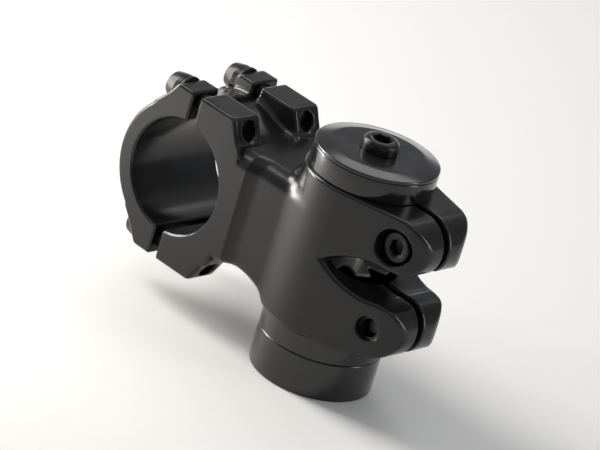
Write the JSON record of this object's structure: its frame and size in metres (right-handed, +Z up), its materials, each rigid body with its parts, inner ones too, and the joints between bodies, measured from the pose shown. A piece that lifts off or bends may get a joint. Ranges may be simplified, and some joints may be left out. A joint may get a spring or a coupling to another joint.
{
  "type": "bicycle handlebar stem",
  "caption": "Short threadless bicycle stem with a removable bolted faceplate, pinch-bolt steerer clamp, top cap, spacers and expanding star nut.",
  "frame": {"origin": "on the steerer axis, at the bottom face of the stem's steerer clamp", "axes": "+Z up along the steerer axis towards the top cap, +X forward to the handlebar, +Y to the rider's left, along the handlebar"},
  "size_m": [0.1015, 0.036, 0.0704],
  "materials": {
    "stem_black": "satin black anodised",
    "spacer_black": "satin black anodised, turned",
    "cap_black": "gloss black anodised",
    "bolt_steel": "black oxide steel",
    "washer_steel": "black zinc plated steel",
    "star_zinc": "zinc plated steel"
  },
  "bodies": {
    "stem": {"stem_body": "stem_black", "cap_spacer": "spacer_black", "spacer_thin": "spacer_black", "spacer_thick": "spacer_black", "star_nut_core": "star_zinc", "star_washer_lower": "star_zinc", "star_washer_upper": "star_zinc"},
    "plate": {"faceplate": "stem_black"},
    "faceplate_screw_upper_left_slide": {"faceplate_washer_upper_left": "washer_steel"},
    "faceplate_screw_upper_left": {"faceplate_bolt_upper_left": "bolt_steel"},
    "faceplate_screw_upper_right_slide": {"faceplate_washer_upper_right": "washer_steel"},
    "faceplate_screw_upper_right": {"faceplate_bolt_upper_right": "bolt_steel"},
    "faceplate_screw_lower_left_slide": {"faceplate_washer_lower_left": "washer_steel"},
    "faceplate_screw_lower_left": {"faceplate_bolt_lower_left": "bolt_steel"},
    "faceplate_screw_lower_right_slide": {"faceplate_washer_lower_right": "washer_steel"},
    "faceplate_screw_lower_right": {"faceplate_bolt_lower_right": "bolt_steel"},
    "pinch_screw_upper_slide": {"pinch_washer_upper": "washer_steel"},
    "pinch_screw_upper": {"pinch_bolt_upper": "bolt_steel"},
    "pinch_screw_lower_slide": {"pinch_washer_lower": "washer_steel"},
    "pinch_screw_lower": {"pinch_bolt_lower": "bolt_steel"},
    "cap_screw_slide": {"top_cap": "cap_black"},
    "cap_screw": {"top_cap_bolt": "bolt_steel"}
  },
  "joints": [
    {"name": "faceplate_off", "type": "slide", "parent": "stem", "child": "plate", "axis": [1, 0, 0], "range_m": [0, 0.03]},
    {"name": "faceplate_screw_upper_left_out", "type": "slide", "parent": "plate", "child": "faceplate_screw_upper_left_slide", "axis": [1, 0, 0], "range_m": [0, 0.012]},
    {"name": "faceplate_screw_upper_left_turn", "type": "hinge", "parent": "faceplate_screw_upper_left_slide", "child": "faceplate_screw_upper_left", "pos_m": [0.0583, 0.0115, 0.0395], "axis": [1, 0, 0], "range_deg": [0, 5400]},
    {"name": "faceplate_screw_upper_right_out", "type": "slide", "parent": "plate", "child": "faceplate_screw_upper_right_slide", "axis": [1, 0, 0], "range_m": [0, 0.012]},
    {"name": "faceplate_screw_upper_right_turn", "type": "hinge", "parent": "faceplate_screw_upper_right_slide", "child": "faceplate_screw_upper_right", "pos_m": [0.0583, -0.0115, 0.0395], "axis": [1, 0, 0], "range_deg": [0, 5400]},
    {"name": "faceplate_screw_lower_left_out", "type": "slide", "parent": "plate", "child": "faceplate_screw_lower_left_slide", "axis": [1, 0, 0], "range_m": [0, 0.012]},
    {"name": "faceplate_screw_lower_left_turn", "type": "hinge", "parent": "faceplate_screw_lower_left_slide", "child": "faceplate_screw_lower_left", "pos_m": [0.0583, 0.0115, -0.0025], "axis": [1, 0, 0], "range_deg": [0, 5400]},
    {"name": "faceplate_screw_lower_right_out", "type": "slide", "parent": "plate", "child": "faceplate_screw_lower_right_slide", "axis": [1, 0, 0], "range_m": [0, 0.012]},
    {"name": "faceplate_screw_lower_right_turn", "type": "hinge", "parent": "faceplate_screw_lower_right_slide", "child": "faceplate_screw_lower_right", "pos_m": [0.0583, -0.0115, -0.0025], "axis": [1, 0, 0], "range_deg": [0, 5400]},
    {"name": "pinch_screw_upper_out", "type": "slide", "parent": "stem", "child": "pinch_screw_upper_slide", "axis": [0, 1, 0], "range_m": [0, 0.008]},
    {"name": "pinch_screw_upper_turn", "type": "hinge", "parent": "pinch_screw_upper_slide", "child": "pinch_screw_upper", "pos_m": [-0.0222, 0.0064, 0.0342], "axis": [0, 1, 0], "range_deg": [0, 3600]},
    {"name": "pinch_screw_lower_out", "type": "slide", "parent": "stem", "child": "pinch_screw_lower_slide", "axis": [0, -1, 0], "range_m": [0, 0.008]},
    {"name": "pinch_screw_lower_turn", "type": "hinge", "parent": "pinch_screw_lower_slide", "child": "pinch_screw_lower", "pos_m": [-0.0222, -0.0064, 0.0102], "axis": [0, -1, 0], "range_deg": [0, 3600]},
    {"name": "cap_screw_out", "type": "slide", "parent": "stem", "child": "cap_screw_slide", "axis": [0, 0, 1], "range_m": [0, 0.009]},
    {"name": "cap_screw_turn", "type": "hinge", "parent": "cap_screw_slide", "child": "cap_screw", "pos_m": [0, 0, 0.05], "axis": [0, 0, 1], "range_deg": [0, 3240]}
  ],
  "couplings": [
    {"joint": "faceplate_screw_upper_left_turn", "follows": "faceplate_screw_upper_left_out", "rad_per_m": 7854},
    {"joint": "faceplate_screw_upper_right_turn", "follows": "faceplate_screw_upper_right_out", "rad_per_m": 7854},
    {"joint": "faceplate_screw_lower_left_turn", "follows": "faceplate_screw_lower_left_out", "rad_per_m": 7854},
    {"joint": "faceplate_screw_lower_right_turn", "follows": "faceplate_screw_lower_right_out", "rad_per_m": 7854},
    {"joint": "pinch_screw_upper_turn", "follows": "pinch_screw_upper_out", "rad_per_m": 7854},
    {"joint": "pinch_screw_lower_turn", "follows": "pinch_screw_lower_out", "rad_per_m": 7854},
    {"joint": "cap_screw_turn", "follows": "cap_screw_out", "rad_per_m": 6283.2}
  ]
}
